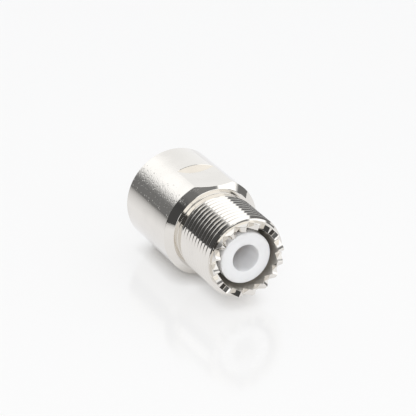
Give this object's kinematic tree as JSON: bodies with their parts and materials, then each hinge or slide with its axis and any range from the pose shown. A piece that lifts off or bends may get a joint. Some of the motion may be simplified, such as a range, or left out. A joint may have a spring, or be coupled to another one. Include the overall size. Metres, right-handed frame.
{
  "type": "uhf connector",
  "caption": "Straight jack for coaxial cable: smooth nickel barrel with wrench flats, coupling thread, toothed front rim, white insulator and a cable clamp at the rear.",
  "frame": {"origin": "centre of the clamp nut's rear end, which the connector stands on", "axes": "+Z along the connector's axis, up to the toothed front rim; the wrench flats face -Y and +Y"},
  "size_m": [0.0192, 0.0192, 0.0335],
  "materials": {
    "nickel_plate": "bright nickel plate on turned brass, with a slight orange-peel",
    "insulator_white": "turned PTFE, waxy white",
    "contact_gold": "gold plate on turned brass",
    "plain_brass": "plain turned brass",
    "gasket_rubber": "black moulded rubber"
  },
  "bodies": {
    "shell": {"connector_body": "nickel_plate", "front_insulator": "insulator_white", "rear_insulator": "insulator_white", "centre_contact": "contact_gold", "braid_clamp": "plain_brass", "gasket": "gasket_rubber"},
    "slip_washer": {"slip_washer": "nickel_plate"},
    "clamp_nut": {"clamp_nut": "nickel_plate"}
  },
  "joints": [
    {"name": "nut_travel", "type": "slide", "parent": "shell", "child": "slip_washer", "axis": [0, 0, -1], "range_m": [0, 0.00375]},
    {"name": "nut_turn", "type": "hinge", "parent": "slip_washer", "child": "clamp_nut", "pos_m": [0, 0, 0], "axis": [0, 0, -1], "range_deg": [0, 1800]}
  ],
  "couplings": [
    {"joint": "nut_turn", "follows": "nut_travel", "rad_per_m": 8377.6}
  ]
}
